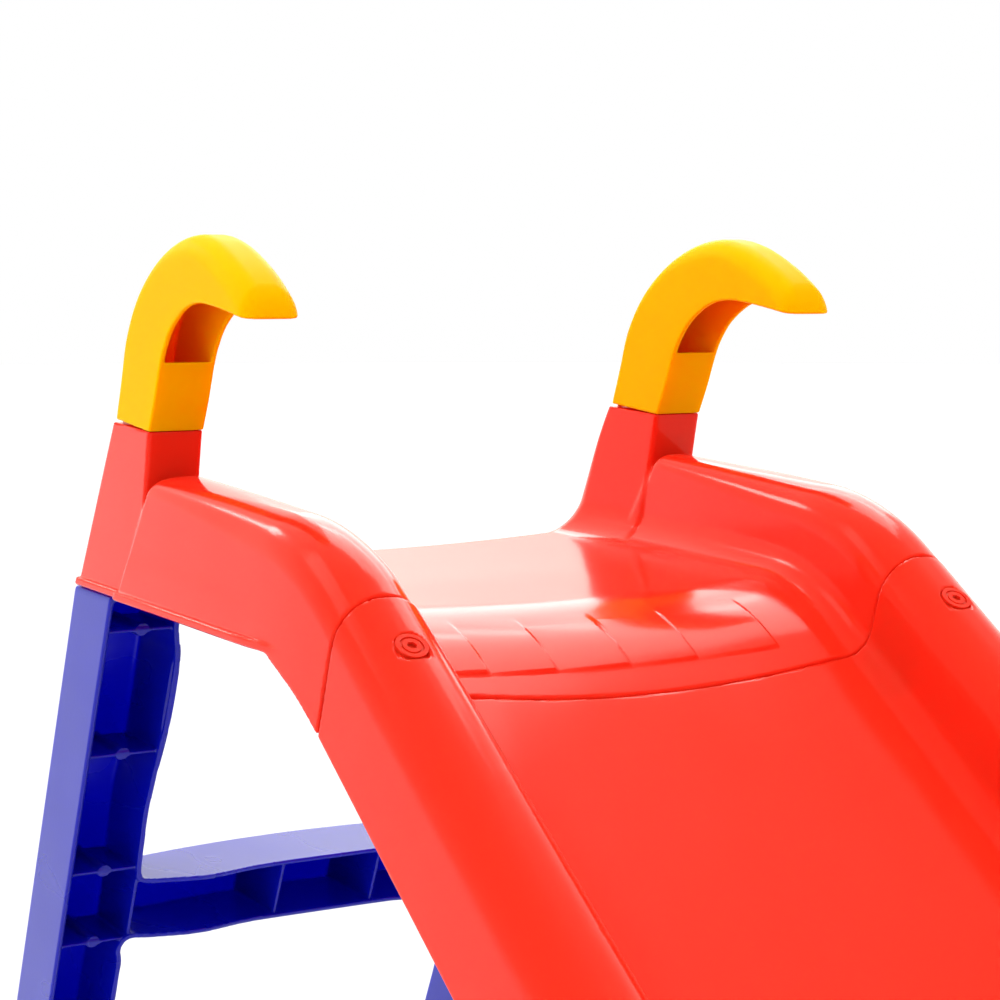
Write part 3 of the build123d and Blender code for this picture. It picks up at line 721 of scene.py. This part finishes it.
def build_floor():
    """Wide pale disc just under the feet, that glows a little so its far parts stay pale."""
    ring, radii = 64, [1.5, 4.0, 30.0]
    points, faces = [(0, 0, 0)], []
    for r in radii:
        points += [(r * math.cos(2 * math.pi * k / ring), r * math.sin(2 * math.pi * k / ring), 0)
                   for k in range(ring)]
    for k in range(ring):
        m = (k + 1) % ring
        faces.append((0, 1 + k, 1 + m))
        for i in range(len(radii) - 1):
            a, b = 1 + i * ring, 1 + (i + 1) * ring
            faces.append((a + k, b + k, b + m, a + m))
    mesh = bpy.data.meshes.new("floor")
    mesh.from_pydata(points, [], faces)
    floor = bpy.data.objects.new("floor", mesh)
    bpy.context.scene.collection.objects.link(floor)
    floor.location.z = CAD_LOW.z - 0.0005
    material = bpy.data.materials.new("pale_floor")
    material.use_nodes = True
    shader = material.node_tree.nodes["Principled BSDF"]
    shader.inputs["Base Color"].default_value = (0.5, 0.5, 0.5, 1)
    shader.inputs["Roughness"].default_value = 0.6
    shader.inputs["Emission Color"].default_value = (1, 1, 1, 1)
    shader.inputs["Emission Strength"].default_value = 0.16
    mesh.materials.append(material)


build_floor()
emitter("left_back_box", (-0.79, -0.37, 0.49), 0.32, 0.3, 13.0)
emitter("left_top_box", (-0.37, -0.61, 0.68), 0.9, 0.9, 1.8)
for name, direction, radiance in (("right_back_low", (-0.66, 0.52, 0.47), 3.0),
                                  ("right_back_high", (-0.44, 0.42, 0.79), 4.2)):
    emitter(name, direction, 1.7, 1.3, radiance).visible_diffuse = False


def studio_world():
    """White studio: bright behind the slide, dim in front of it, plain white where nothing stands."""
    world = bpy.data.worlds.new("studio")
    bpy.context.scene.world = world
    world.use_nodes = True
    nodes, links = world.node_tree.nodes, world.node_tree.links
    place = nodes.new("ShaderNodeTexCoord")

    def toward(direction):
        """How far a ray points that way, from -1 to 1."""
        dot = nodes.new("ShaderNodeVectorMath")
        dot.operation = "DOT_PRODUCT"
        dot.inputs[1].default_value = Vector(direction).normalized()
        links.new(place.outputs["Generated"], dot.inputs[0])
        return dot.outputs["Value"]

    def background(value, start, end, low, high, tint):
        """Light that goes from low to high as the value goes from start to end."""
        tone = nodes.new("ShaderNodeMapRange")
        for socket, number in (("From Min", start), ("From Max", end), ("To Min", low), ("To Max", high)):
            tone.inputs[socket].default_value = number
        links.new(value, tone.inputs["Value"])
        shader = nodes.new("ShaderNodeBackground")
        shader.inputs["Color"].default_value = tint
        links.new(tone.outputs["Result"], shader.inputs["Strength"])
        return shader.outputs["Background"]

    mirrored = background(toward((-1, 0.6, -0.1)), -0.4, 0.97, 0.08, 1.7, (1, 0.98, 0.9, 1))
    soft = background(toward((-0.33, -0.28, 0.9)), -1.0, 1.0, -0.15, 2.45, (1, 1, 1, 1))
    plain = nodes["Background"]
    plain.inputs["Color"].default_value = (1, 1, 1, 1)
    ray = nodes.new("ShaderNodeLightPath")
    inner, outer = nodes.new("ShaderNodeMixShader"), nodes.new("ShaderNodeMixShader")
    links.new(ray.outputs["Is Glossy Ray"], inner.inputs["Fac"])
    links.new(soft, inner.inputs[1])
    links.new(mirrored, inner.inputs[2])
    links.new(ray.outputs["Is Camera Ray"], outer.inputs["Fac"])
    links.new(inner.outputs["Shader"], outer.inputs[1])
    links.new(plain.outputs["Background"], outer.inputs[2])
    links.new(outer.outputs["Shader"], nodes["World Output"].inputs["Surface"])


studio_world()
bpy.context.scene.view_settings.view_transform = "Standard"

FOCAL_LENGTH = 82.53                     # for a 36 mm sensor
CAMERA_FROM_JOINT = (1.5002, -0.75624, 0.099)
CAMERA_TURN, CAMERA_DIP = math.radians(60.75), math.radians(5.55)
camera_data = bpy.data.cameras.new("camera")
camera_data.sensor_width = 36.0
camera_data.lens = FOCAL_LENGTH
camera_data.clip_start = 0.05
camera_data.clip_end = 100.0
camera = bpy.data.objects.new("camera", camera_data)
bpy.context.scene.collection.objects.link(camera)
camera.location = Vector(JOINT) + Vector(CAMERA_FROM_JOINT)
forward = Vector((-math.sin(CAMERA_TURN) * math.cos(CAMERA_DIP),
                  math.cos(CAMERA_TURN) * math.cos(CAMERA_DIP), -math.sin(CAMERA_DIP)))
camera.rotation_euler = forward.to_track_quat("-Z", "Y").to_euler()
bpy.context.scene.camera = camera
